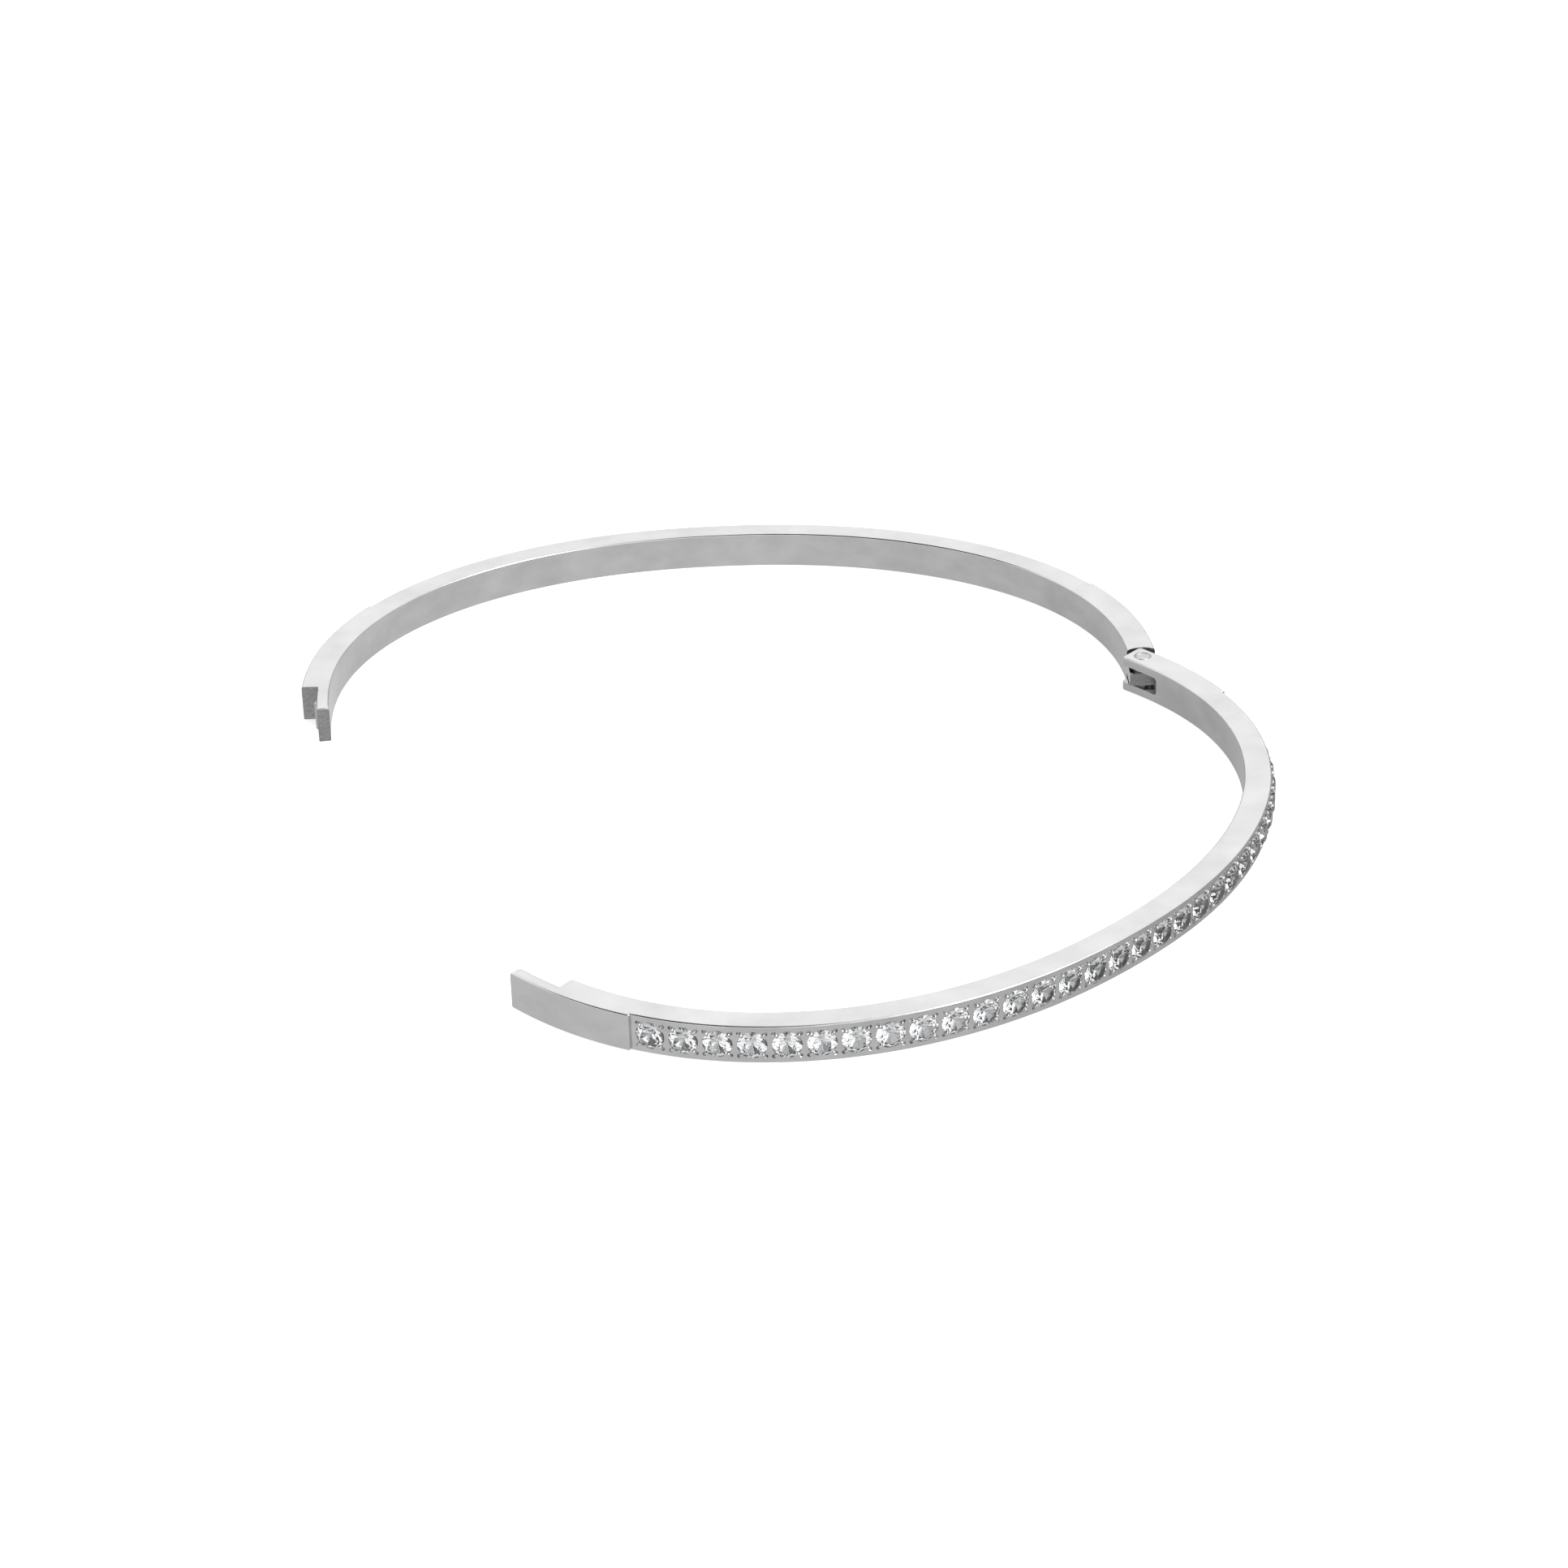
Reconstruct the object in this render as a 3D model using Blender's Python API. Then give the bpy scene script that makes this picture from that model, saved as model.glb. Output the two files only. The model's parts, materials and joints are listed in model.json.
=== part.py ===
"""Hinged oval bangle set with a row of round stones, standing open on its lower edge.

Two arms make one oval band, each the mirror image of the other in plan. A fork on the near arm holds
a lug on the far arm with a riveted hinge pin, and the free ends lap past each other in tongues of
half the band's thickness, held by a snap pin. Plan sizes run along the band's centreline: s is the
distance from the hinge pin, and off is the distance outward from the centreline. Both arms are drawn
closed, with the hinge pin at the origin and the oval's long axis along -X. Each is then turned about
the pin to its resting angle, and the whole bangle is centred on the world's origin.
"""

import math

import bmesh
import bpy
from mathutils import Matrix, Vector

MM = 0.001

# Band: the closed oval's centreline is a superellipse
OVAL_LENGTH = 62.8 * MM
OVAL_DEPTH = 51.6 * MM
OVAL_POWER = 2.13
BAND_HEIGHT = 2.8 * MM
BAND_THICKNESS = 2.15 * MM
EDGE_BEVEL = 0.12 * MM
BAND_FACETS = 52

# Resting angles of the two arms about the hinge pin
FAR_TURN = math.radians(1.5)
NEAR_TURN = math.radians(44.2)

# Hinge: fork ears on the near arm, one lug on the far arm
PIN_RADIUS = 0.65 * MM
PIN_SIDES = 24
PIN_FIT = 0.03 * MM
LUG_HEIGHT = 1.0 * MM
LUG_PLAY = 0.4 * MM
LUG_REACH = 1.1 * MM
EAR_RADIUS = 1.48 * MM
EAR_FLAT = 0.28 * MM
SHOULDER_GAP = 0.08 * MM
SLOT_BEYOND_PIN = 2.45 * MM
SLOT_CORNER = 0.3 * MM

# Clasp: the far tongue lies inside the near tongue
FAR_STEP_BEFORE_AXIS = 0.85 * MM
FAR_TONGUE_LENGTH = 3.75 * MM
CLASP_GAP = 0.1 * MM
LAP_GAP = 0.3 * MM
TONGUE_CORNER = 0.35 * MM
SNAP_PIN_RADIUS = 0.35 * MM
SNAP_PIN_PROUD = 0.18 * MM
SNAP_PIN_BEFORE_END = 1.75 * MM
SNAP_PIN_SIDES = 16
SNAP_PIN_FIT = 0.03 * MM
SNAP_PIN_SHORT = 0.3 * MM

# Setting: round stones in blind seats along a slightly lower face
STONE_RADIUS = 1.0 * MM
STONE_SPACING = 0.235 * MM
STONE_SIDES = 8
STONE_TABLE_SHARE = 0.58
STONE_CROWN = 0.28 * MM
STONE_GIRDLE = 0.08 * MM
STONE_PAVILION = 0.78 * MM
SEAT_GAP = 0.06 * MM
SEAT_EXTRA_DEPTH = 0.1 * MM
SETTING_RECESS = 0.2 * MM
SETTING_MARGIN = 0.35 * MM
NEAR_HINGE_PLAIN = 8.0 * MM
NEAR_CLASP_PLAIN = 8.6 * MM
FAR_HINGE_PLAIN = 13.2 * MM
FAR_CLASP_PLAIN = 14.6 * MM
# A model holds this many objects, so the far row's last seats are empty here
MOST_OBJECTS = 60
OBJECTS_BESIDE_STONES = 4

HALF_THICK = BAND_THICKNESS / 2
MID_HEIGHT = BAND_HEIGHT / 2
SHOULDER_RADIUS = EAR_RADIUS + SHOULDER_GAP
SLOT_HEIGHT = LUG_HEIGHT + LUG_PLAY
EAR_REACH = EAR_RADIUS - EAR_FLAT
STONE_PITCH = 2 * STONE_RADIUS + STONE_SPACING
FIRST_STONE = STONE_RADIUS + SETTING_MARGIN
SET_FACE_OFF = HALF_THICK - SETTING_RECESS
TONGUE_FACE = LAP_GAP / 2
SHARP_ANGLE = math.radians(30)


class Centreline:
    """Half of the closed oval's centreline, run a little past both ends, with the hinge pin at s = 0."""

    SAMPLES = 2400
    PAST = 0.2

    def __init__(self):
        span = math.pi + 2 * self.PAST
        self.points = [self.oval_point(-self.PAST + span * i / self.SAMPLES) for i in range(self.SAMPLES + 1)]
        reach = [0.0]
        for here, ahead in zip(self.points, self.points[1:]):
            reach.append(reach[-1] + (ahead - here).length)
        start = reach[round(self.SAMPLES * self.PAST / span)]
        end = reach[round(self.SAMPLES * (self.PAST + math.pi) / span)]
        self.reach = [value - start for value in reach]
        self.length = end - start

    def oval_point(self, angle):
        along = abs(2 * math.cos(angle) / OVAL_LENGTH) ** OVAL_POWER
        across = abs(2 * math.sin(angle) / OVAL_DEPTH) ** OVAL_POWER
        radius = (along + across) ** (-1 / OVAL_POWER)
        return Vector((radius * math.cos(angle) - OVAL_LENGTH / 2, radius * math.sin(angle)))

    def sample_before(self, s):
        low, high = 2, self.SAMPLES - 3
        while high - low > 1:
            middle = (low + high) // 2
            if self.reach[middle] > s:
                high = middle
            else:
                low = middle
        return low

    def outward(self, s):
        low = self.sample_before(s)
        along = (self.points[low + 3] - self.points[low - 2]).normalized()
        return Vector((along.y, -along.x))

    def at(self, s, off=0.0):
        low = self.sample_before(s)
        share = (s - self.reach[low]) / (self.reach[low + 1] - self.reach[low])
        return self.points[low].lerp(self.points[low + 1], share) + self.outward(s) * off


def stone_places(hinge_plain, clasp_plain):
    """As many stones as fit between an arm's two plain stretches, counted from the hinge."""
    room = OVAL.length - hinge_plain - clasp_plain - 2 * FIRST_STONE
    count = 1 + int(room / STONE_PITCH)
    return [hinge_plain + FIRST_STONE + STONE_PITCH * i for i in range(count)]


OVAL = Centreline()
NEAR_STONES = stone_places(NEAR_HINGE_PLAIN, NEAR_CLASP_PLAIN)
FAR_STONES = stone_places(FAR_HINGE_PLAIN, FAR_CLASP_PLAIN)
FAR_STEP = OVAL.length - FAR_STEP_BEFORE_AXIS
FAR_END = FAR_STEP + FAR_TONGUE_LENGTH
NEAR_TIP = OVAL.length + FAR_STEP_BEFORE_AXIS - CLASP_GAP
NEAR_STEP = 2 * OVAL.length - FAR_END - CLASP_GAP
SNAP_PIN_S = FAR_END - SNAP_PIN_BEFORE_END


def material(name, color, roughness, metallic):
    finish = bpy.data.materials.new(name)
    finish.use_nodes = True
    shader = finish.node_tree.nodes["Principled BSDF"]
    shader.inputs["Base Color"].default_value = (*color, 1.0)
    shader.inputs["Roughness"].default_value = roughness
    shader.inputs["Metallic"].default_value = metallic
    return finish


def mesh_of(name, bm):
    bmesh.ops.recalc_face_normals(bm, faces=bm.faces)
    mesh = bpy.data.meshes.new(name)
    bm.to_mesh(mesh)
    bm.free()
    return mesh


def new_object(name, bm, finish=None):
    obj = bpy.data.objects.new(name, mesh_of(name, bm))
    bpy.context.collection.objects.link(obj)
    if finish:
        obj.data.materials.append(finish)
    return obj


def smooth(obj):
    obj.data.shade_smooth()
    obj.data.set_sharp_from_angle(angle=SHARP_ANGLE)


def prism(outline, low, high):
    """A closed plan outline raised from one height to another."""
    bm = bmesh.new()
    base = bm.faces.new([bm.verts.new((point.x, point.y, low)) for point in outline])
    raised = bmesh.ops.extrude_face_region(bm, geom=[base])["geom"]
    top = [item for item in raised if isinstance(item, bmesh.types.BMVert)]
    bmesh.ops.translate(bm, verts=top, vec=(0, 0, high - low))
    return bm


def add_cylinder(bm, radius, sides, low, high, place):
    middle = Matrix.Translation((0, 0, (low + high) / 2))
    bmesh.ops.create_cone(
        bm,
        cap_ends=True,
        segments=sides,
        radius1=radius,
        radius2=radius,
        depth=high - low,
        matrix=place @ middle,
    )


def upright_cylinder(radius, sides, low, high):
    bm = bmesh.new()
    add_cylinder(bm, radius, sides, low, high, Matrix.Identity(4))
    return bm


def boolean(obj, other, operation):
    other.hide_render = True
    other.display_type = "WIRE"
    other.parent = obj
    step = obj.modifiers.new(other.name, "BOOLEAN")
    step.operation = operation
    step.solver = "EXACT"
    step.object = other


def cut_hole(obj, name, radius, sides, place=(0, 0, 0)):
    hole = new_object(name, upright_cylinder(radius, sides, -BAND_HEIGHT, 2 * BAND_HEIGHT))
    hole.location = place
    boolean(obj, hole, "DIFFERENCE")


def face_run(start, end, off):
    """Points along one face of the band between two distances."""
    count = max(1, round(BAND_FACETS * abs(end - start) / OVAL.length))
    return [OVAL.at(start + (end - start) * i / count, off) for i in range(count + 1)]


def arc(radius, start, end, steps):
    angles = [start + (end - start) * i / steps for i in range(steps + 1)]
    return [Vector((radius * math.cos(angle), radius * math.sin(angle))) for angle in angles]


def end_corner(s, off, toward_off, steps=3):
    """A quarter round in place of an end's square corner, from the end's face to the side face."""
    run = []
    for i in range(steps + 1):
        angle = math.pi / 2 * i / steps
        back = TONGUE_CORNER * (1 - math.sin(angle))
        side = TONGUE_CORNER * (1 - math.cos(angle))
        run.append(OVAL.at(s - back, off + toward_off * side))
    return run


def outer_face(first, last, stones):
    """The outer face, whose plain ends stand a little proud of the stretch that holds the stones."""
    setting_start, setting_end = stones[0] - FIRST_STONE, stones[-1] + FIRST_STONE
    run = face_run(first, setting_start, HALF_THICK)
    run += face_run(setting_start, setting_end, SET_FACE_OFF)
    run += face_run(setting_end, last, HALF_THICK)
    return run


def far_outline():
    """Counter-clockwise from the shoulder's hollow, along the outer face and back along the inner."""
    side = math.asin(HALF_THICK / SHOULDER_RADIUS)
    shoulder = arc(SHOULDER_RADIUS, math.pi / 2 + side, math.pi / 2 - side, 8)
    first = SHOULDER_RADIUS * math.cos(side)
    outline = shoulder[:-1] + outer_face(first, FAR_STEP, FAR_STONES)
    outline += face_run(FAR_STEP, FAR_END, -TONGUE_FACE)
    return outline + face_run(FAR_END, first, -HALF_THICK)[:-1]


def near_outline():
    """As far_outline, for the arm with the fork and the outer tongue."""
    flat_angle = math.asin(EAR_REACH / EAR_RADIUS)
    side_angle = math.acos(HALF_THICK / EAR_RADIUS)
    first = -EAR_RADIUS * math.sin(side_angle)
    inner_round = arc(EAR_RADIUS, side_angle - math.pi, flat_angle - math.pi, 3)
    outer_round = arc(EAR_RADIUS, -flat_angle, -side_angle, 3)
    outline = inner_round + outer_round[:-1]
    outline += outer_face(first, NEAR_TIP, NEAR_STONES)
    outline += end_corner(NEAR_TIP, TONGUE_FACE, 1)[::-1]
    outline += face_run(NEAR_TIP - TONGUE_CORNER, NEAR_STEP, TONGUE_FACE)[1:]
    outline += end_corner(NEAR_STEP, -HALF_THICK, 1)[::-1]
    return outline + face_run(NEAR_STEP - TONGUE_CORNER, first, -HALF_THICK)[1:-1]


def band(name, outline, finish):
    """An arm's plan raised to the band's height, with its edges bevelled."""
    arm = new_object(name, prism(outline, 0, BAND_HEIGHT), finish)
    edges = arm.modifiers.new("edges", "BEVEL")
    edges.width = EDGE_BEVEL
    edges.segments = 1
    edges.limit_method = "ANGLE"
    edges.angle_limit = math.radians(80)
    smooth(arm)
    return arm


def facing_out(s, side):
    """Places a shape so that its +Z points out of the set face at s. side is 1 or -1, for the arm's Y."""
    place = OVAL.at(s, SET_FACE_OFF)
    outward = OVAL.outward(s)
    out = Vector((outward.x, side * outward.y, 0))
    up = Vector((0, 0, 1))
    turn = Matrix((up.cross(out), up, out)).transposed()
    return Matrix.Translation((place.x, side * place.y, MID_HEIGHT)) @ turn.to_4x4()


def stone_mesh(finish):
    """A round stone with a table, crown, girdle and pavilion. z = 0 is the top of its girdle."""
    bm = upright_cylinder(STONE_RADIUS, STONE_SIDES, -STONE_GIRDLE, 0)
    caps = sorted(bm.faces, key=lambda face: face.calc_center_median().z)
    culet = bmesh.ops.poke(bm, faces=caps[:1])["verts"]
    bmesh.ops.translate(bm, verts=culet, vec=(0, 0, -STONE_PAVILION))
    table = caps[-1]
    bmesh.ops.inset_region(bm, faces=[table], thickness=STONE_RADIUS * (1 - STONE_TABLE_SHARE))
    bmesh.ops.translate(bm, verts=table.verts, vec=(0, 0, STONE_CROWN))
    mesh = mesh_of("stone", bm)
    mesh.materials.append(finish)
    return mesh


def cut_seats(arm, places, side):
    """A blind seat for each stone, from above the set face to below the stone's point."""
    bm = bmesh.new()
    bottom = -(STONE_GIRDLE + STONE_PAVILION + SEAT_EXTRA_DEPTH)
    for s in places:
        add_cylinder(bm, STONE_RADIUS + SEAT_GAP, STONE_SIDES, bottom, HALF_THICK, facing_out(s, side))
    boolean(arm, new_object(arm.name + "_seats", bm), "DIFFERENCE")


def add_stones(prefix, places, side, parent, mesh):
    for number, s in enumerate(places, 1):
        stone = bpy.data.objects.new(f"{prefix}_stone_{number:02d}", mesh)
        stone.matrix_world = facing_out(s, side)
        stone.parent = parent
        bpy.context.collection.objects.link(stone)


def lug_shape():
    """The band's plan carried past the pin, with its other end buried in the arm."""
    buried = 2 * SHOULDER_RADIUS
    outline = face_run(-LUG_REACH, buried, HALF_THICK) + face_run(buried, -LUG_REACH, -HALF_THICK)
    return prism(outline, MID_HEIGHT - LUG_HEIGHT / 2, MID_HEIGHT + LUG_HEIGHT / 2)


def snap_pin_place():
    place = OVAL.at(SNAP_PIN_S, SNAP_PIN_PROUD - TONGUE_FACE - SNAP_PIN_RADIUS)
    return (place.x, place.y, 0)


def far_arm(parent, finish):
    arm = band("far_arm", far_outline(), finish)
    boolean(arm, new_object("lug", lug_shape()), "UNION")
    cut_hole(arm, "lug_hole", PIN_RADIUS + PIN_FIT, PIN_SIDES)
    cut_seats(arm, FAR_STONES, 1)
    cut_hole(arm, "snap_pin_seat", SNAP_PIN_RADIUS + SNAP_PIN_FIT, SNAP_PIN_SIDES, snap_pin_place())
    arm.parent = parent


def fork_slot_shape():
    """A slot through the near arm's end, with rounded corners where it ends beyond the pin."""
    bm = bmesh.new()
    open_end = 2 * EAR_REACH
    length = SLOT_BEYOND_PIN + open_end
    size = Matrix.Diagonal((2 * BAND_THICKNESS, length, SLOT_HEIGHT, 1))
    place = Matrix.Translation((0, open_end - length / 2, MID_HEIGHT))
    bmesh.ops.create_cube(bm, size=1, matrix=place @ size)
    closed_end = min(vert.co.y for vert in bm.verts)
    corners = []
    for edge in bm.edges:
        ends = [vert.co for vert in edge.verts]
        if all(end.y == closed_end for end in ends) and ends[0].z == ends[1].z:
            corners.append(edge)
    bmesh.ops.bevel(
        bm, geom=corners, offset=SLOT_CORNER, segments=3, profile=0.5, affect="EDGES", material=-1
    )
    return bm


def near_arm(parent, finish):
    mirrored = [Vector((point.x, -point.y)) for point in near_outline()]
    arm = band("near_arm", mirrored, finish)
    boolean(arm, new_object("fork_slot", fork_slot_shape()), "DIFFERENCE")
    cut_hole(arm, "ear_holes", PIN_RADIUS + PIN_FIT, PIN_SIDES)
    cut_seats(arm, NEAR_STONES, -1)
    arm.parent = parent


def hinge_pin(parent, finish):
    pin = new_object("hinge_pin", upright_cylinder(PIN_RADIUS, PIN_SIDES, 0, BAND_HEIGHT), finish)
    smooth(pin)
    pin.parent = parent


def snap_pin(parent, finish):
    low, high = SNAP_PIN_SHORT, BAND_HEIGHT - SNAP_PIN_SHORT
    pin = new_object("snap_pin", upright_cylinder(SNAP_PIN_RADIUS, SNAP_PIN_SIDES, low, high), finish)
    pin.location = snap_pin_place()
    smooth(pin)
    pin.parent = parent


def turned_empty(name, turn):
    empty = bpy.data.objects.new(name, None)
    empty.rotation_euler = (0, 0, turn)
    bpy.context.collection.objects.link(empty)
    return empty


def centre_on_origin(empties):
    """Moves the bangle so that its box stands centred over the origin, and gives places in millimetres."""
    bpy.context.view_layer.update()
    depsgraph = bpy.context.evaluated_depsgraph_get()
    corners = []
    for obj in bpy.data.objects:
        if obj.type == "MESH" and not obj.hide_render:
            solid = obj.evaluated_get(depsgraph)
            corners += [solid.matrix_world @ vert.co for vert in solid.data.vertices]
    middle = []
    for axis in range(2):
        values = [corner[axis] for corner in corners]
        middle.append((min(values) + max(values)) / 2)
    rest = OVAL.at(OVAL.length / 2)
    for empty in empties:
        empty.location = (-middle[0], -middle[1], 0)
    bpy.context.view_layer.update()
    print("hinge axis:", [round(value / MM, 4) for value in empties[0].matrix_world.translation])
    for empty, side in zip(empties, (1, -1)):
        spot = empty.matrix_world @ Vector((rest.x, side * rest.y, 0))
        print("middle of the arm on", empty.name, [round(value / MM, 4) for value in spot])


def build():
    for obj in list(bpy.data.objects):
        bpy.data.objects.remove(obj, do_unlink=True)
    steel = material("polished_steel", (0.76, 0.76, 0.77), 0.22, 1.0)
    pin_steel = material("pin_steel", (0.72, 0.72, 0.73), 0.3, 1.0)
    clear = material("clear_stone", (0.93, 0.94, 0.96), 0.03, 0.0)
    far = turned_empty("far_arm_axis", FAR_TURN)
    near = turned_empty("hinge_axis", NEAR_TURN)
    far_arm(far, steel)
    near_arm(near, steel)
    hinge_pin(near, pin_steel)
    snap_pin(far, pin_steel)
    stone = stone_mesh(clear)
    room_for_far = MOST_OBJECTS - OBJECTS_BESIDE_STONES - len(NEAR_STONES)
    add_stones("far", FAR_STONES[:room_for_far], 1, far, stone)
    add_stones("near", NEAR_STONES, -1, near, stone)
    centre_on_origin([far, near])


build()
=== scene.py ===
# %% [markdown]
# # A hinged stone-set bangle
#
# This lesson dresses a working model of a bangle bracelet. The plain model already holds the sizes, the
# hinge and the clasp. Here each arm is cut again as fine metalwork, each stone gets its facets, and
# each surface gets a finish of its own.

import json
import math

import bmesh
import bpy
from mathutils import Matrix, Vector


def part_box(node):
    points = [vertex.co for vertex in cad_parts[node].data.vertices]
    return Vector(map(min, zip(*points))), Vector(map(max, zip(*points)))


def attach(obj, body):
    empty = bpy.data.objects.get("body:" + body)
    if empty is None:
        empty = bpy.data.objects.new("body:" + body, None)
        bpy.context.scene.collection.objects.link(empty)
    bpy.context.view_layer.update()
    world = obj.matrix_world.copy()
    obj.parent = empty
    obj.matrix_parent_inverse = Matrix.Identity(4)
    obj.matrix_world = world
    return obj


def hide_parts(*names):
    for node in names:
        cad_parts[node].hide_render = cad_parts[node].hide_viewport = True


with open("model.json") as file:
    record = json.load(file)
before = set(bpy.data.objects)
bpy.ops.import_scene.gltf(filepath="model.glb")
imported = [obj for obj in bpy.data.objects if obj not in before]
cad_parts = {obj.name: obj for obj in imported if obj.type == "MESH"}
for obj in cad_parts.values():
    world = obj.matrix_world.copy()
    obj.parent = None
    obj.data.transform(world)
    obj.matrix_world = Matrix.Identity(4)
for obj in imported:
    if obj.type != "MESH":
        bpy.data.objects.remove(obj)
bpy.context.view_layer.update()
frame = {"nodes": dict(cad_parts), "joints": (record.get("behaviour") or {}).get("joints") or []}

# %% [markdown]
# ## The sizes that everything follows
#
# A jeweller would note these on a card: the band's section, the hinge, the clasp and the setting. They
# repeat the working model's own sizes, because the fine pieces have to fit the same joint. Where the
# loaded model can say a size, it's read from the model: the band's height comes from an arm's box, and
# the hinge's place and travel come from the joint.

# %% Sizes in metres
MM = 0.001
HINGE = frame["joints"][0]
PIN = Vector(HINGE["pos_m"])
BAND_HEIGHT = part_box("far_arm")[1].z
MID = BAND_HEIGHT / 2
FAR_TURN = math.radians(1.5)
NEAR_TURN = FAR_TURN - math.radians(HINGE["range_deg"][0])

OVAL_LENGTH = 62.8 * MM
OVAL_DEPTH = 51.6 * MM
OVAL_POWER = 2.13
THICKNESS = 2.15 * MM
HALF = THICKNESS / 2
EDGE_ROUND = 0.14 * MM

EAR_REACH = 1.2 * MM
EAR_CORNER = 0.28 * MM
SHOULDER_RADIUS = 1.56 * MM
LUG_HEIGHT = 1.0 * MM
LUG_REACH = 1.1 * MM
SLOT_HEIGHT = 1.4 * MM
SLOT_END = 2.45 * MM
SLOT_CORNER = 0.3 * MM
PIN_HOLE = 0.66 * MM

FAR_STEP_BACK = 0.85 * MM
FAR_TONGUE = 3.75 * MM
CLASP_GAP = 0.1 * MM
TONGUE_FACE = 0.15 * MM
TONGUE_CORNER = 0.35 * MM

STONE_RADIUS = 1.0 * MM
STONE_PITCH = 2.235 * MM
SEAT_RADIUS = 1.03 * MM
SEAT_DEPTH = 0.85 * MM
SETTING_RECESS = 0.2 * MM
SETTING_MARGIN = 1.35 * MM
SET_OFF = HALF - SETTING_RECESS
NEAR_SETTING = 8.0 * MM
NEAR_STONES = 33
FAR_SETTING = 13.2 * MM
FAR_STONES = 28
print(f"band {BAND_HEIGHT / MM:.2f} mm high, hinge travel {HINGE['range_deg']} degrees")

# %% [markdown]
# ## The camera
#
# The bangle is small, so the view is a long lens about a third of a metre away, looking down by
# twenty-eight degrees with a slight tilt. The camera looks at a point on the table near the middle of
# the bangle, which is easier to reason about than a camera position.

# %% Place the camera
LOOK_AT = Vector((0.365 * MM, -0.319 * MM, 0))
VIEW_DOWN = math.radians(28.4)
VIEW_DISTANCE = 324.5 * MM
VIEW_ROLL = math.radians(-1.79)
LENS = 101.29

camera_data = bpy.data.cameras.new("camera")
camera_data.lens = LENS
camera_data.sensor_width = 36.0
camera_data.clip_start = 0.01
camera = bpy.data.objects.new("camera", camera_data)
bpy.context.scene.collection.objects.link(camera)
back = Vector((0, -math.cos(VIEW_DOWN), math.sin(VIEW_DOWN)))
tilt = Matrix.Rotation(math.pi / 2 - VIEW_DOWN, 4, "X") @ Matrix.Rotation(VIEW_ROLL, 4, "Z")
camera.matrix_world = Matrix.Translation(LOOK_AT + back * VIEW_DISTANCE) @ tilt
bpy.context.scene.camera = camera
print("camera at", [round(value, 4) for value in camera.matrix_world.translation])

# %% [markdown]
# ## The oval
#
# The closed bangle is neither a circle nor an ellipse: its sides are a little fuller, which a
# superellipse gives with one extra number, its power. Each arm is half of it, from the hinge pin
# round to the clasp. Distances are measured along the band, as on a real strip of metal, so the curve
# is walked once in small steps and the length so far is kept.


# %% A walk along half the oval
class Oval:
    STEPS = 3000
    PAST = 0.2

    def __init__(self):
        span = math.pi + 2 * self.PAST
        self.points = [self.point(-self.PAST + span * i / self.STEPS) for i in range(self.STEPS + 1)]
        reach = [0.0]
        for here, ahead in zip(self.points, self.points[1:]):
            reach.append(reach[-1] + (ahead - here).length)
        start = reach[round(self.STEPS * self.PAST / span)]
        end = reach[round(self.STEPS * (self.PAST + math.pi) / span)]
        self.reach = [value - start for value in reach]
        self.length = end - start

    def point(self, angle):
        along = abs(2 * math.cos(angle) / OVAL_LENGTH) ** OVAL_POWER
        across = abs(2 * math.sin(angle) / OVAL_DEPTH) ** OVAL_POWER
        radius = (along + across) ** (-1 / OVAL_POWER)
        return Vector((radius * math.cos(angle) - OVAL_LENGTH / 2, radius * math.sin(angle)))

    def frame_at(self, s):
        """The centreline's point at distance s from the pin, and the outward direction there."""
        low, high = 2, self.STEPS - 3
        while high - low > 1:
            middle = (low + high) // 2
            if self.reach[middle] > s:
                high = middle
            else:
                low = middle
        share = (s - self.reach[low]) / (self.reach[low + 1] - self.reach[low])
        along = (self.points[low + 3] - self.points[low - 2]).normalized()
        return self.points[low].lerp(self.points[low + 1], share), Vector((along.y, -along.x))


oval = Oval()
FAR_STEP = oval.length - FAR_STEP_BACK
FAR_END = FAR_STEP + FAR_TONGUE
NEAR_TIP = oval.length + FAR_STEP_BACK - CLASP_GAP
NEAR_STEP = 2 * oval.length - FAR_END - CLASP_GAP
print(f"each arm follows {oval.length / MM:.1f} mm of the oval")

# %% [markdown]
# ## From a straight strip to a bent arm
#
# Every feature of an arm is easier to cut while the metal is straight, and that is also how a bangle
# is made. So an arm is built lying along X, with Y pointing out of the band and Z up, and is bent at
# the end: X becomes the distance along the oval and Y the distance out from it. The near arm is the
# mirror image in plan, and a mirrored mesh is inside out, so its faces are turned back.


# %% Bend a straight mesh round the oval
def to_rest(side):
    """From the closed drawing to the resting place: turned about the pin. side is 1 far, -1 near."""
    turn = FAR_TURN if side > 0 else NEAR_TURN
    mirror = Matrix.Diagonal((1, side, 1, 1))
    return Matrix.Translation((PIN.x, PIN.y, 0)) @ Matrix.Rotation(turn, 4, "Z") @ mirror


def bend(bm, side):
    for vert in bm.verts:
        place, out = oval.frame_at(vert.co.x)
        flat = place + out * vert.co.y
        vert.co = (flat.x, flat.y, vert.co.z)
    bmesh.ops.transform(bm, matrix=to_rest(side), verts=bm.verts)
    if side < 0:
        bmesh.ops.reverse_faces(bm, faces=bm.faces)


def stone_frame(s, side):
    """A stone's own axes at distance s: its Z points out of the band, and its origin is on the set face."""
    place, out = oval.frame_at(s)
    flat = place + out * SET_OFF
    matrix = to_rest(side)
    z = (matrix.to_3x3() @ Vector((out.x, out.y, 0))).normalized()
    y = Vector((0, 0, 1))
    turn = Matrix((y.cross(z), y, z)).transposed().to_4x4()
    return Matrix.Translation(matrix @ Vector((flat.x, flat.y, MID))) @ turn


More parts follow.
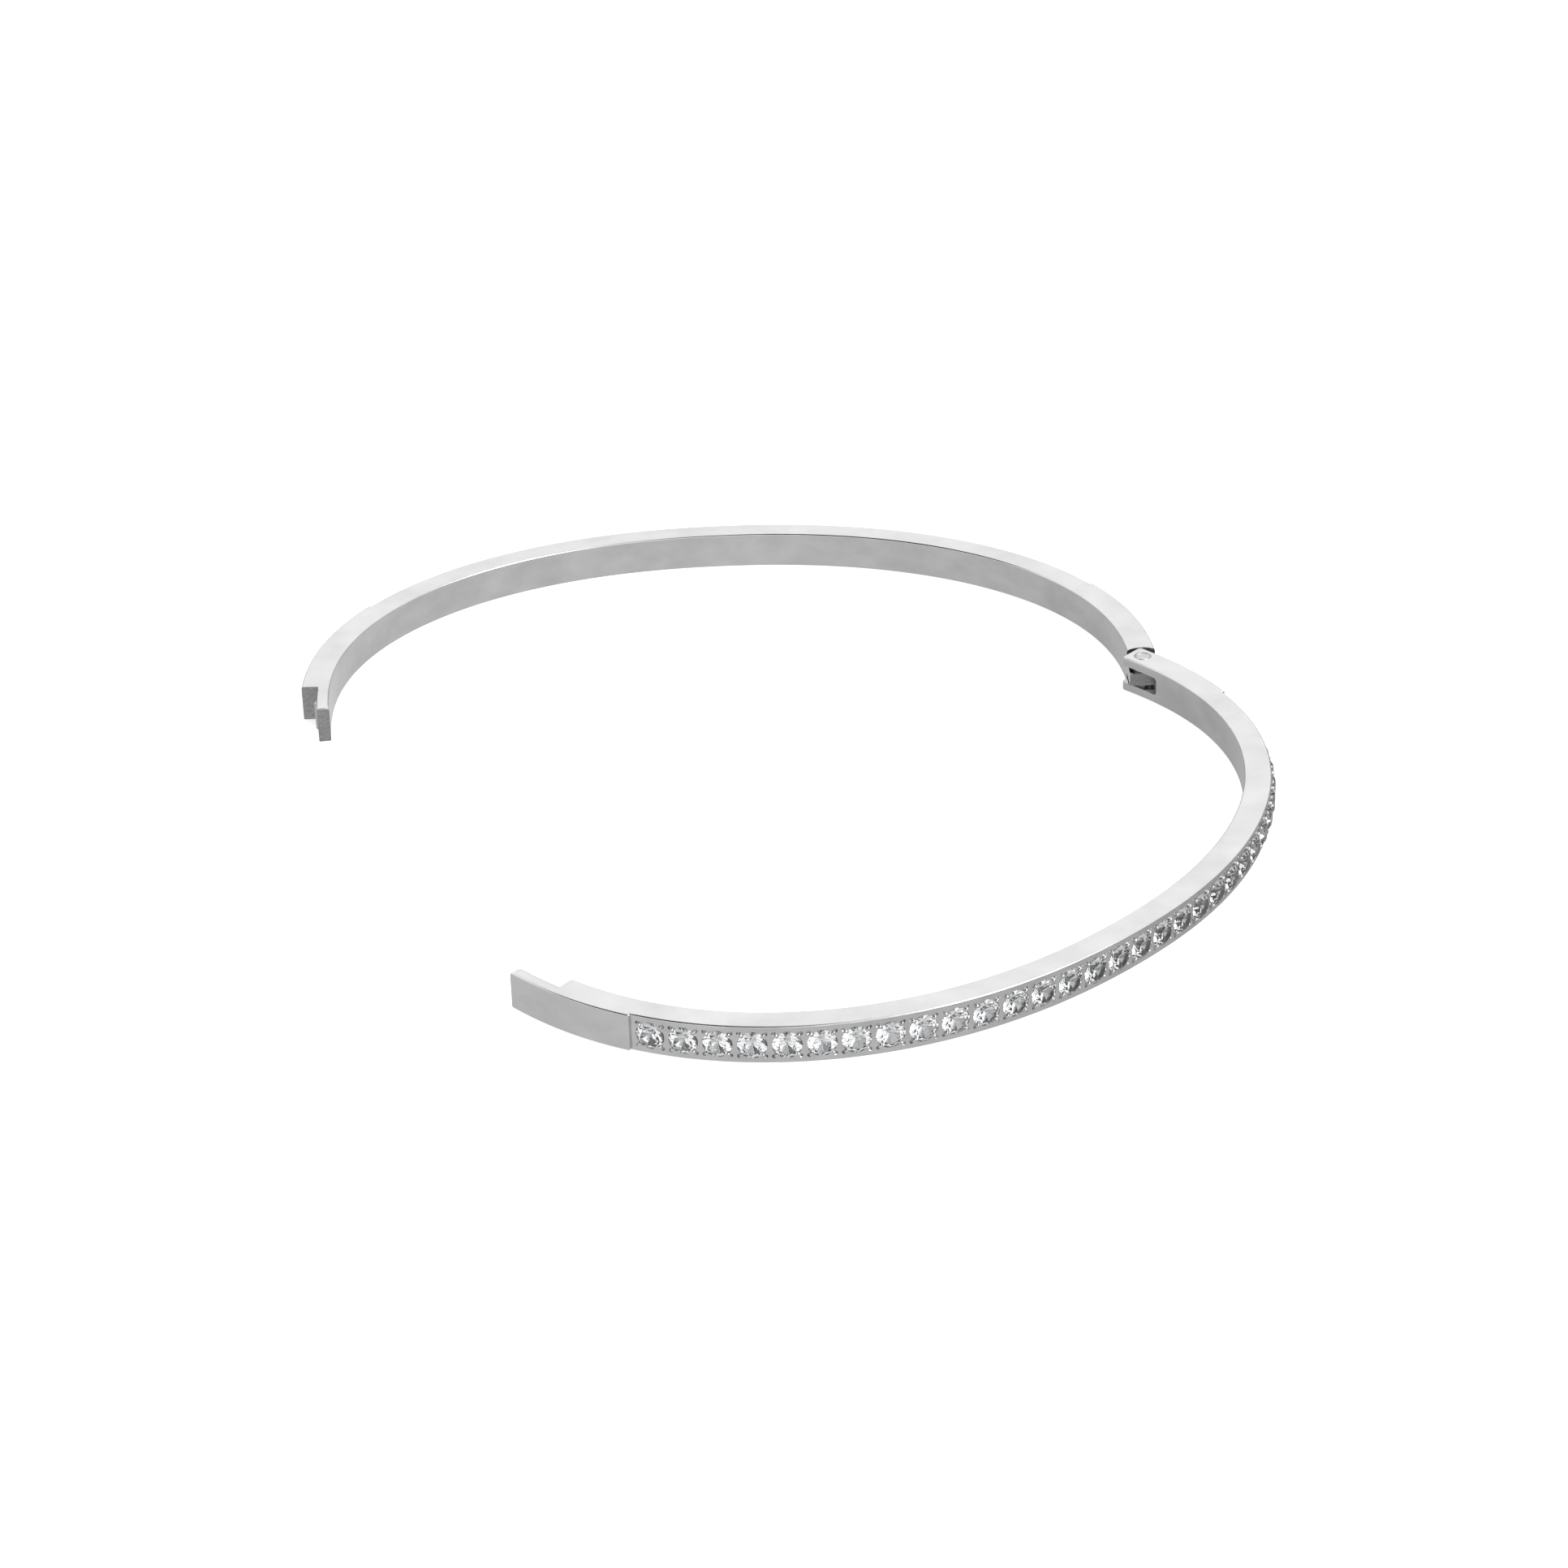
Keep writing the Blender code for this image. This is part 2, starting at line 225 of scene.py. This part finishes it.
def finished(name, bm, body, slot, *materials):
    mesh = bpy.data.meshes.new(name)
    bm.to_mesh(mesh)
    bm.free()
    piece = bpy.data.objects.new(name, mesh)
    bpy.context.scene.collection.objects.link(piece)
    for finish in materials:
        mesh.materials.append(finish)
    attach(piece, body)
    return piece


CROSSES_BAND = 0.8


def machine_and_shade_ends(bm, last_plain):
    """Marks the faces that cross the band at its two ends, beyond the stones, for the second finish: rougher,
    with painted shade.
    """
    for face in bm.faces:
        along = face.calc_center_median().x
        beyond_stones = along < NEAR_SETTING / 2 or along > last_plain
        if beyond_stones and abs(face.normal.x) > CROSSES_BAND:
            face.material_index = 1


def smooth_where_round(piece, degrees=35):
    """Shades small rounds smooth. Normals weighted by area keep the wide faces beside them flat."""
    piece.data.shade_smooth()
    piece.data.set_sharp_from_angle(angle=math.radians(degrees))
    weighted = piece.modifiers.new("flat faces", "WEIGHTED_NORMAL")
    weighted.keep_sharp = True


# %% [markdown]
# ## Steel
#
# The band is polished stainless steel, which is far from a perfect mirror: it has been tumbled, so
# its gloss is a little soft, with a fine grain and faint cloudy patches where it has been handled. All
# three come from noise in the piece's own coordinates. The base colour is the share of light that
# steel really gives back, about three fifths. Where a cutter left the metal, at the ends of the clasp
# and in the hinge, the steel is rougher, and its colour is painted darker as shade between the parts.


# %% Build the steel finishes
def nodes_of(material):
    material.use_nodes = True
    tree = material.node_tree
    return tree, tree.nodes["Principled BSDF"]


def link_noise(tree, scale, stretch, detail):
    """Noise on Object coordinates, stretched by a Mapping node."""
    place = tree.nodes.new("ShaderNodeTexCoord")
    mapping = tree.nodes.new("ShaderNodeMapping")
    mapping.inputs["Scale"].default_value = stretch
    noise = tree.nodes.new("ShaderNodeTexNoise")
    noise.inputs["Scale"].default_value = scale
    noise.inputs["Detail"].default_value = detail
    tree.links.new(place.outputs["Object"], mapping.inputs["Vector"])
    tree.links.new(mapping.outputs["Vector"], noise.inputs["Vector"])
    return noise


def link_range(tree, source, low, high, socket):
    between = tree.nodes.new("ShaderNodeMapRange")
    between.inputs["From Min"].default_value = 0.3
    between.inputs["From Max"].default_value = 0.7
    between.inputs["To Min"].default_value = low
    between.inputs["To Max"].default_value = high
    tree.links.new(source, between.inputs["Value"])
    tree.links.new(between.outputs["Result"], socket)


def link_colour(tree, source, dark, light, socket):
    ramp = tree.nodes.new("ShaderNodeValToRGB")
    ramp.color_ramp.elements[0].position = 0.3
    ramp.color_ramp.elements[0].color = (*dark, 1)
    ramp.color_ramp.elements[1].position = 0.7
    ramp.color_ramp.elements[1].color = (*light, 1)
    tree.links.new(source, ramp.inputs["Fac"])
    tree.links.new(ramp.outputs["Color"], socket)


def steel(name, dark, light, rough, patches, lines, bump):
    material = bpy.data.materials.new(name)
    tree, shader = nodes_of(material)
    shader.inputs["Metallic"].default_value = 1.0
    clouds = link_noise(tree, *patches)
    hair = link_noise(tree, *lines)
    link_colour(tree, clouds.outputs["Fac"], dark, light, shader.inputs["Base Color"])
    link_range(tree, clouds.outputs["Fac"], *rough, shader.inputs["Roughness"])
    raised = tree.nodes.new("ShaderNodeBump")
    raised.inputs["Strength"].default_value = bump
    raised.inputs["Distance"].default_value = 0.01 * MM
    tree.links.new(hair.outputs["Fac"], raised.inputs["Height"])
    tree.links.new(raised.outputs["Normal"], shader.inputs["Normal"])
    return material


polished = steel(
    "polished steel",
    (0.56, 0.56, 0.565),
    (0.66, 0.66, 0.665),
    (0.15, 0.24),
    (330.0, (1, 1, 1.6), 4.0),
    (5200.0, (1, 1, 3), 3.0),
    0.22,
)
# Painted shade: the end faces in the hinge and clasp get a darker colour than the steel, standing for the
# shade between the parts; their extra roughness is the cutter's real finish.
machined_and_shaded = steel(
    "machined steel",
    (0.24, 0.24, 0.24),
    (0.44, 0.44, 0.44),
    (0.34, 0.46),
    (6500.0, (0.5, 0.5, 1.6), 4.0),
    (3000.0, (0.4, 0.4, 9), 3.0),
    0.6,
)
pin_steel = steel(
    "pin steel",
    (0.46, 0.46, 0.46),
    (0.58, 0.58, 0.58),
    (0.24, 0.34),
    (1500.0, (1, 1, 1), 3.0),
    (6000.0, (1, 1, 1), 2.0),
    0.2,
)
print("steel finishes:", polished.name, machined_and_shaded.name, pin_steel.name)

# %% [markdown]
# ## A strip to cut from
#
# An arm's outline in plan is a few corners: its end by the hinge, the slightly lower stretch that holds
# the stones, and the half-thick tongue of the clasp. One face through those corners, raised to the
# band's height, is the strip. Its upright corners are rounded where the real ones are, and then all
# of the edges round the top and bottom get a small round, which is what catches the light as a thin
# line. Last, it's sliced across every half millimetre, so that it can bend smoothly.

# %% Build and slice the strip
SLICE = STONE_PITCH / 4


def strip(corners, rounds):
    """corners are (x, y) in order; rounds gives a radius for the upright edge at a corner's number."""
    bm = bmesh.new()
    base = bm.faces.new([bm.verts.new((x, y, 0)) for x, y in corners])
    raised = bmesh.ops.extrude_face_region(bm, geom=[base])["geom"]
    top = [item for item in raised if isinstance(item, bmesh.types.BMVert)]
    bmesh.ops.translate(bm, verts=top, vec=(0, 0, BAND_HEIGHT))
    bmesh.ops.recalc_face_normals(bm, faces=bm.faces)
    for number, radius in rounds.items():
        x, y = corners[number]
        upright = []
        for edge in bm.edges:
            low, high = edge.verts
            if all(abs(v.co.x - x) < 1e-7 and abs(v.co.y - y) < 1e-7 for v in (low, high)):
                upright.append(edge)
        bmesh.ops.bevel(
            bm, geom=upright, offset=radius, segments=5, profile=0.5, affect="EDGES", material=-1
        )
    rims = [edge for edge in bm.edges if abs(edge.verts[0].co.z - edge.verts[1].co.z) < 1e-9]
    bmesh.ops.bevel(
        bm, geom=rims, offset=EDGE_ROUND, segments=3, profile=0.5, affect="EDGES", material=-1
    )
    return bm


def slice_across(bm):
    low = min(vert.co.x for vert in bm.verts)
    high = max(vert.co.x for vert in bm.verts)
    count = int((high - low) / SLICE)
    for i in range(1, count):
        x = low + (high - low) * i / count
        geom = bm.verts[:] + bm.edges[:] + bm.faces[:]
        bmesh.ops.bisect_plane(bm, geom=geom, plane_co=(x, 0, 0), plane_no=(1, 0, 0), dist=1e-8)
    return bm


def cut(bm, cutters):
    """Takes the cutters' shapes, all in one mesh, out of the strip with an exact Boolean."""
    objects = []
    for name, source in (("strip", bm), ("cutters", cutters)):
        mesh = bpy.data.meshes.new(name)
        source.to_mesh(mesh)
        source.free()
        obj = bpy.data.objects.new(name, mesh)
        bpy.context.scene.collection.objects.link(obj)
        objects.append(obj)
    step = objects[0].modifiers.new("cut", "BOOLEAN")
    step.operation = "DIFFERENCE"
    step.solver = "EXACT"
    step.object = objects[1]
    bpy.context.view_layer.update()
    solid = objects[0].evaluated_get(bpy.context.evaluated_depsgraph_get())
    result = bmesh.new()
    result.from_mesh(solid.to_mesh())
    for obj in objects:
        mesh = obj.data
        bpy.data.objects.remove(obj)
        bpy.data.meshes.remove(mesh)
    return result


# %% [markdown]
# ## Seats, prongs and pockets
#
# Each stone drops into a round seat. Then a graver raises four little beads of metal from the band's
# own face and pushes them over the stone's edge, which leaves a small pocket behind each bead. The
# pocket is what makes the setting sparkle: a dark nick beside a bright bead. Seats and pockets are
# cut from the strip, and the beads are small balls sunk in its face.

# %% Cutters for the setting
PRONG_ANGLES = [math.radians(45 + 90 * quarter) for quarter in range(4)]
POCKET_REACH = 1.21 * MM
POCKET_DEPTH = 0.16 * MM
POCKET_RADIUS = 0.15 * MM
SEAT_SIDES = 24


def on_strip(x):
    """A cutter's axes on the straight strip: Z out of the set face."""
    return Matrix.Translation((x, SET_OFF, MID)) @ Matrix.Rotation(-math.pi / 2, 4, "X")


def stone_row(start, count):
    return [start + SETTING_MARGIN + STONE_PITCH * i for i in range(count)]


def seat_cutters(bm, row):
    for x in row:
        above = SETTING_RECESS * 2
        middle = Matrix.Translation((0, 0, (above - SEAT_DEPTH) / 2))
        bmesh.ops.create_cone(
            bm,
            cap_ends=True,
            segments=SEAT_SIDES,
            radius1=SEAT_RADIUS * 0.86,
            radius2=SEAT_RADIUS,
            depth=SEAT_DEPTH + above,
            matrix=on_strip(x) @ middle,
        )
        for angle in PRONG_ANGLES:
            place = Matrix.Rotation(angle, 4, "Z") @ Matrix.Translation((POCKET_REACH, 0, 0))
            bmesh.ops.create_cone(
                bm,
                cap_ends=True,
                segments=6,
                radius1=0.02 * MM,
                radius2=POCKET_RADIUS * 2,
                depth=POCKET_DEPTH * 2,
                matrix=on_strip(x) @ place,
            )
    return bm


def add_box(bm, low, high):
    size = [b - a for a, b in zip(low, high)]
    middle = [(a + b) / 2 for a, b in zip(low, high)]
    matrix = Matrix.Translation(middle) @ Matrix.Diagonal((*size, 1))
    return bmesh.ops.create_cube(bm, size=1, matrix=matrix)["verts"]


def add_upright(bm, x, y, radius, low, high, sides=32):
    matrix = Matrix.Translation((x, y, (low + high) / 2))
    bmesh.ops.create_cone(
        bm, cap_ends=True, segments=sides, radius1=radius, radius2=radius, depth=high - low, matrix=matrix
    )


# %% [markdown]
# ## The near arm
#
# The near arm ends in a fork at the hinge: two ears with a slot between them, and a hole for the pin.
# Its other end is the outer half of the clasp, a tongue of half the band's thickness with a rounded
# tip. The slot's closed end is rounded, as a small milling cutter leaves it.

# %% Make the near arm
BEYOND = 2 * MM


def near_strip():
    near_end = NEAR_SETTING + 2 * SETTING_MARGIN + (NEAR_STONES - 1) * STONE_PITCH
    corners = [
        (-EAR_REACH, -HALF),
        (NEAR_STEP, -HALF),
        (NEAR_STEP, TONGUE_FACE),
        (NEAR_TIP, TONGUE_FACE),
        (NEAR_TIP, HALF),
        (near_end, HALF),
        (near_end, SET_OFF),
        (NEAR_SETTING, SET_OFF),
        (NEAR_SETTING, HALF),
        (-EAR_REACH, HALF),
    ]
    rounds = {0: EAR_CORNER, 1: TONGUE_CORNER, 3: TONGUE_CORNER, 9: EAR_CORNER}
    return slice_across(strip(corners, rounds))


def fork_cutter(bm):
    verts = add_box(
        bm,
        (-BEYOND - EAR_REACH, -2 * THICKNESS, MID - SLOT_HEIGHT / 2),
        (SLOT_END, 2 * THICKNESS, MID + SLOT_HEIGHT / 2),
    )
    closed_end = max(vert.co.x for vert in verts)
    corners = []
    for edge in bm.edges:
        first, second = edge.verts
        at_end = all(abs(v.co.x - closed_end) < 1e-7 for v in (first, second))
        if at_end and abs(first.co.z - second.co.z) < 1e-7:
            corners.append(edge)
    bmesh.ops.bevel(
        bm, geom=corners, offset=SLOT_CORNER, segments=4, profile=0.5, affect="EDGES", material=-1
    )


near_row = stone_row(NEAR_SETTING, NEAR_STONES)
near_cutters = bmesh.new()
fork_cutter(near_cutters)
seat_cutters(near_cutters, near_row)
near_bm = cut(near_strip(), near_cutters)
hole = bmesh.new()
add_upright(hole, 0, 0, PIN_HOLE, -BEYOND, BAND_HEIGHT + BEYOND)
near_bm = cut(near_bm, hole)
machine_and_shade_ends(near_bm, NEAR_STEP - CLASP_GAP)
bend(near_bm, -1)
near_arm = finished("near_arm_metal", near_bm, "near_arm", "polished_steel", polished, machined_and_shaded)
smooth_where_round(near_arm)
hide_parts("near_arm")
print("near arm:", len(near_arm.data.polygons), "faces")

# %% [markdown]
# ## The far arm
#
# The far arm has the other half of each joint: a lug that fills the fork's slot, and the clasp's
# inner tongue. Round the lug, the metal above and below is hollowed to a cylinder about the pin, so
# that the fork's round ears can swing there.

# %% Make the far arm


def far_strip():
    far_end = FAR_SETTING + 2 * SETTING_MARGIN + (FAR_STONES - 1) * STONE_PITCH
    corners = [
        (-LUG_REACH, -HALF),
        (FAR_END, -HALF),
        (FAR_END, -TONGUE_FACE),
        (FAR_STEP, -TONGUE_FACE),
        (FAR_STEP, HALF),
        (far_end, HALF),
        (far_end, SET_OFF),
        (FAR_SETTING, SET_OFF),
        (FAR_SETTING, HALF),
        (-LUG_REACH, HALF),
    ]
    return slice_across(strip(corners, {}))


def shoulder_cutters(low, high):
    bm = bmesh.new()
    add_upright(bm, 0, 0, SHOULDER_RADIUS, low, high, 64)
    return bm


def end_block(low, high):
    bm = bmesh.new()
    add_box(bm, (-LUG_REACH - BEYOND, -THICKNESS, low), (0, THICKNESS, high))
    return bm


far_row = stone_row(FAR_SETTING, FAR_STONES)
far_bm = cut(far_strip(), seat_cutters(bmesh.new(), far_row))
for low, high in ((-BEYOND, MID - LUG_HEIGHT / 2), (MID + LUG_HEIGHT / 2, BAND_HEIGHT + BEYOND)):
    far_bm = cut(far_bm, shoulder_cutters(low, high))
    far_bm = cut(far_bm, end_block(low, high))
hole = bmesh.new()
add_upright(hole, 0, 0, PIN_HOLE, -BEYOND, BAND_HEIGHT + BEYOND)
far_bm = cut(far_bm, hole)
machine_and_shade_ends(far_bm, NEAR_STEP - CLASP_GAP)
bend(far_bm, 1)
far_arm = finished("far_arm_metal", far_bm, "far_arm", "polished_steel", polished, machined_and_shaded)
smooth_where_round(far_arm)
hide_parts("far_arm")
print("far arm:", len(far_arm.data.polygons), "faces")

# %% [markdown]
# ## The stones
#
# A round brilliant is cut from a round blank, one flat facet at a time, and so is this one. Each facet
# is a plane at a given angle, and everything outside it is cut away. The crown has eight main facets,
# eight small star facets by the table and sixteen by the girdle; the pavilion below has eight mains
# and sixteen more by the girdle.

# %% Cut one brilliant
GIRDLE = 0.05 * MM
TABLE_HEIGHT = 0.30 * MM
PAVILION_DEPTH = 0.80 * MM


def grind(bm, angle, slope, reach, height):
    """One facet: a plane leaning by slope from the girdle's plane, through (reach, height) on its side."""
    normal = Vector((math.sin(slope) * math.cos(angle), math.sin(slope) * math.sin(angle), math.cos(slope)))
    point = Vector((reach * math.cos(angle), reach * math.sin(angle), height))
    geom = bm.verts[:] + bm.edges[:] + bm.faces[:]
    made = bmesh.ops.bisect_plane(
        bm, geom=geom, dist=1e-9, plane_co=point, plane_no=normal, clear_outer=True
    )
    rim = [item for item in made["geom_cut"] if isinstance(item, bmesh.types.BMEdge)]
    if rim:
        bmesh.ops.contextual_create(bm, geom=rim)


def brilliant():
    bm = bmesh.new()
    depth = TABLE_HEIGHT + GIRDLE + PAVILION_DEPTH
    blank = Matrix.Translation((0, 0, TABLE_HEIGHT - depth / 2))
    bmesh.ops.create_cone(
        bm, cap_ends=True, segments=32, radius1=STONE_RADIUS, radius2=STONE_RADIUS, depth=depth, matrix=blank
    )
    for i in range(16):
        grind(bm, math.tau * (i + 0.5) / 16, math.radians(42), STONE_RADIUS, 0)
        grind(bm, math.tau * (i + 0.5) / 16, math.pi - math.radians(42.5), STONE_RADIUS, -GIRDLE)
    for i in range(8):
        grind(bm, math.tau * i / 8, math.radians(34.5), STONE_RADIUS * 0.995, 0.01 * MM)
        grind(bm, math.tau * i / 8, math.pi - math.radians(40.5), STONE_RADIUS * 0.995, -GIRDLE)
    for i in range(8):
        grind(bm, math.tau * (i + 0.5) / 8, math.radians(22), STONE_RADIUS * 0.6, TABLE_HEIGHT * 0.93)
    bmesh.ops.recalc_face_normals(bm, faces=bm.faces)
    return bm


stone_mesh = bpy.data.meshes.new("brilliant")
brilliant_bm = brilliant()
brilliant_bm.to_mesh(stone_mesh)
brilliant_bm.free()
print("a brilliant has", len(stone_mesh.polygons), "facets")

# %% [markdown]
# ## Clear crystal
#
# The stones are a clear, strongly bending crystal. A glass surface with that material's index turns
# the light inside the stone, so the sparkle comes from the facets themselves. A trace of noise in the
# colour stands for the faint cloud that a worn stone has.

# %% Build the crystal
crystal = bpy.data.materials.new("clear crystal")
tree, shader = nodes_of(crystal)
shader.inputs["Roughness"].default_value = 0.05
shader.inputs["IOR"].default_value = 1.8
shader.inputs["Transmission Weight"].default_value = 1.0
haze = link_noise(tree, 1400.0, (1, 1, 1), 2.0)
link_colour(tree, haze.outputs["Fac"], (0.78, 0.79, 0.80), (0.97, 0.97, 0.98), shader.inputs["Base Color"])


# %% Set the stones
def set_stones(prefix, row, side, body):
    for number, s in enumerate(row, 1):
        turn = Matrix.Rotation(math.tau * 0.618 * number, 4, "Z")
        bm = bmesh.new()
        bm.from_mesh(stone_mesh)
        bmesh.ops.transform(bm, matrix=stone_frame(s, side) @ turn, verts=bm.verts)
        stone = finished(f"{prefix}_brilliant_{number:02d}", bm, body, "clear_stone", crystal)
        node = f"{prefix}_stone_{number:02d}"
        if node in frame["nodes"]:
            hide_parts(node)


set_stones("near", near_row, -1, "near_arm")
set_stones("far", far_row, 1, "far_arm")
bpy.data.meshes.remove(stone_mesh)

# %% [markdown]
# ## The beads
#
# A bead is a ball of metal about a third of a millimetre across, leaning over the stone's edge.
# There are hundreds, so each has only a few dozen faces, shaded smooth.

# %% Raise the beads
BEAD_RADIUS = 0.17 * MM
BEAD_REACH = 1.03 * MM


def beads(name, row, side, body):
    bm = bmesh.new()
    for s in row:
        for angle in PRONG_ANGLES:
            lean = Matrix.Rotation(angle, 4, "Z") @ Matrix.Translation((BEAD_REACH, 0, 0.05 * MM))
            shape = Matrix.Diagonal((1.15, 0.85, 0.95, 1))
            bmesh.ops.create_uvsphere(
                bm, u_segments=8, v_segments=6, radius=BEAD_RADIUS, matrix=stone_frame(s, side) @ lean @ shape
            )
    piece = finished(name, bm, body, "polished_steel", polished)
    piece.data.shade_smooth()
    return piece


near_beads = beads("near_arm_beads", near_row, -1, "near_arm")
far_beads = beads("far_arm_beads", far_row, 1, "far_arm")
print("beads:", len(near_beads.data.polygons) + len(far_beads.data.polygons), "faces")

# %% [markdown]
# ## The two pins
#
# The hinge pin's ends are riveted and ground flush, so each shows as a disc with a faint ring. The snap
# pin stands a little out of the far tongue, and is what clicks past the near tongue.

# %% Make the pins
def centre_of(node):
    low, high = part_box(node)
    return (low + high) / 2, high.z - low.z, (high.x - low.x) / 2


def ring_groove(bm, margin, width, depth):
    """A shallow groove round each end face, a margin in from the rim."""
    caps = [face for face in bm.faces if abs(face.normal.z) > 0.99]
    for cap in caps:
        bmesh.ops.inset_region(bm, faces=[cap], thickness=margin)
        bmesh.ops.inset_region(bm, faces=[cap], thickness=width, depth=-depth)
        bmesh.ops.inset_region(bm, faces=[cap], thickness=width, depth=depth)


def pin(name, node, body, dome):
    middle, length, radius = centre_of(node)
    bm = bmesh.new()
    add_upright(bm, middle.x, middle.y, radius, middle.z - length / 2, middle.z + length / 2)
    rims = [edge for edge in bm.edges if abs(edge.verts[0].co.z - edge.verts[1].co.z) < 1e-9]
    bmesh.ops.bevel(bm, geom=rims, offset=dome, segments=3, profile=0.5, affect="EDGES", material=-1)
    bm.normal_update()
    ring_groove(bm, radius * 0.04, radius * 0.06, radius * 0.08)
    piece = finished(name, bm, body, "pin_steel", pin_steel)
    smooth_where_round(piece)
    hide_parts(node)
    return piece


pin("hinge_rivet", "hinge_pin", "near_arm", 0.05 * MM)
pin("snap_rivet", "snap_pin", "far_arm", 0.08 * MM)

# %% [markdown]
# ## Table, light and surroundings
#
# Polished metal shows whatever is round it, so the surroundings are part of the finish. The upright
# faces of the band mirror the table close by, and the flat edges mirror the far side of the room. The
# table seen directly is white. One table does both jobs: a Light Path node lets the metal see instead a
# glowing grey sheet with painted shade, darker towards the hinge side, and leaves the one seen directly
# white. That sheet glows though it is no lamp, and its grey is painted shade, not the table's colour.

# %% The table
FLOOR_SIZE = 3.0
SHADE_FROM = -5 * MM
SHADE_TO = 58 * MM
# Brightness of the painted shade that the metal sees in the table: lighter at the left, darker towards the
# hinge side.
PAINTED_SHADE_LEFT = 0.74
PAINTED_SHADE_RIGHT = 0.40
floor_mesh = bpy.data.meshes.new("floor")
floor_bm = bmesh.new()
bmesh.ops.create_grid(floor_bm, x_segments=1, y_segments=1, size=FLOOR_SIZE / 2)
floor_bm.to_mesh(floor_mesh)
floor_bm.free()
floor = bpy.data.objects.new("floor", floor_mesh)
bpy.context.scene.collection.objects.link(floor)
table = bpy.data.materials.new("white table with painted reflected shade")
tree, shader = nodes_of(table)
shader.inputs["Roughness"].default_value = 0.9
shader.inputs["Specular IOR Level"].default_value = 0.1
shader.inputs["Emission Color"].default_value = (1, 1, 1, 1)
shader.inputs["Emission Strength"].default_value = 0.6
grain = link_noise(tree, 60.0, (1, 1, 1), 3.0)
link_colour(tree, grain.outputs["Fac"], (0.93, 0.93, 0.93), (0.96, 0.96, 0.96), shader.inputs["Base Color"])
# Painted shade: for the metal's reflections, a glowing grey sheet, darker towards the hinge side, takes the
# place of the lit table; it glows though it is no lamp.
painted_shade_glow = tree.nodes.new("ShaderNodeEmission")
across = tree.nodes.new("ShaderNodeSeparateXYZ")
place = tree.nodes.new("ShaderNodeTexCoord")
painted_shade_fall = tree.nodes.new("ShaderNodeMapRange")
painted_shade_fall.interpolation_type = "SMOOTHSTEP"
painted_shade_fall.inputs["From Min"].default_value = SHADE_FROM
painted_shade_fall.inputs["From Max"].default_value = SHADE_TO
painted_shade_fall.inputs["To Min"].default_value = PAINTED_SHADE_LEFT
painted_shade_fall.inputs["To Max"].default_value = PAINTED_SHADE_RIGHT
tree.links.new(place.outputs["Object"], across.inputs["Vector"])
tree.links.new(across.outputs["X"], painted_shade_fall.inputs["Value"])
tree.links.new(painted_shade_fall.outputs["Result"], painted_shade_glow.inputs["Color"])
path = tree.nodes.new("ShaderNodeLightPath")
mix = tree.nodes.new("ShaderNodeMixShader")
output = tree.nodes["Material Output"]
# Camera rays see the white table; every other ray sees the painted shade.
tree.links.new(path.outputs["Is Camera Ray"], mix.inputs["Fac"])
tree.links.new(painted_shade_glow.outputs["Emission"], mix.inputs[1])
tree.links.new(shader.outputs["BSDF"], mix.inputs[2])
tree.links.new(mix.outputs["Shader"], output.inputs["Surface"])
floor_mesh.materials.append(table)

# %% [markdown]
# The room is a soft tent of light, drawn in the world's own shader: brightest a little above the
# horizon, which lights the flat edges of the band. A dark patch high in front, where a camera and the
# person behind it would be, draws a thin dark line along the rounded edge that faces it.


# %% The room
def dot_with(tree, vector, direction):
    dot = tree.nodes.new("ShaderNodeVectorMath")
    dot.operation = "DOT_PRODUCT"
    dot.inputs[1].default_value = direction
    tree.links.new(vector, dot.inputs[0])
    return dot.outputs["Value"]


def ramp_of(tree, value, *stops):
    ramp = tree.nodes.new("ShaderNodeValToRGB")
    elements = ramp.color_ramp.elements
    while len(elements) < len(stops):
        elements.new(0.5)
    for element, (position, brightness) in zip(elements, stops):
        element.position = position
        element.color = (brightness, brightness, brightness, 1)
    tree.links.new(value, ramp.inputs["Fac"])
    return ramp.outputs["Color"]


DARK_PATCH = Vector((-0.388, -0.301, 0.873)).normalized()
world = bpy.data.worlds.new("tent")
bpy.context.scene.world = world
world.use_nodes = True
tree = world.node_tree
background = tree.nodes["Background"]
look = tree.nodes.new("ShaderNodeTexCoord")
upward = dot_with(tree, look.outputs["Generated"], (0, 0, 1))
height = ramp_of(tree, upward, (0.0, 0.2), (0.2, 0.8), (0.5, 1.0), (1.0, 0.8))
toward_patch = dot_with(tree, look.outputs["Generated"], DARK_PATCH)
patch = ramp_of(tree, toward_patch, (0.0, 1.0), (0.80, 1.0), (0.88, 0.10), (1.0, 0.06))
product = tree.nodes.new("ShaderNodeMix")
product.data_type = "RGBA"
product.blend_type = "MULTIPLY"
product.inputs["Factor"].default_value = 1.0
tree.links.new(height, product.inputs["A"])
tree.links.new(patch, product.inputs["B"])
tree.links.new(product.outputs["Result"], background.inputs["Color"])
background.inputs["Strength"].default_value = 1.35


# %% The lights
def soft_light(name, place, size, power):
    data = bpy.data.lights.new(name, "AREA")
    data.shape = "RECTANGLE"
    data.size, data.size_y = size
    data.energy = power
    light = bpy.data.objects.new(name, data)
    turn = (-Vector(place)).to_track_quat("-Z", "Y").to_matrix().to_4x4()
    light.matrix_world = Matrix.Translation(place) @ turn
    bpy.context.scene.collection.objects.link(light)


soft_light("right light", (0.55, -0.25, 0.7), (0.35, 0.35), 3.0)
bpy.context.scene.view_settings.view_transform = "Standard"
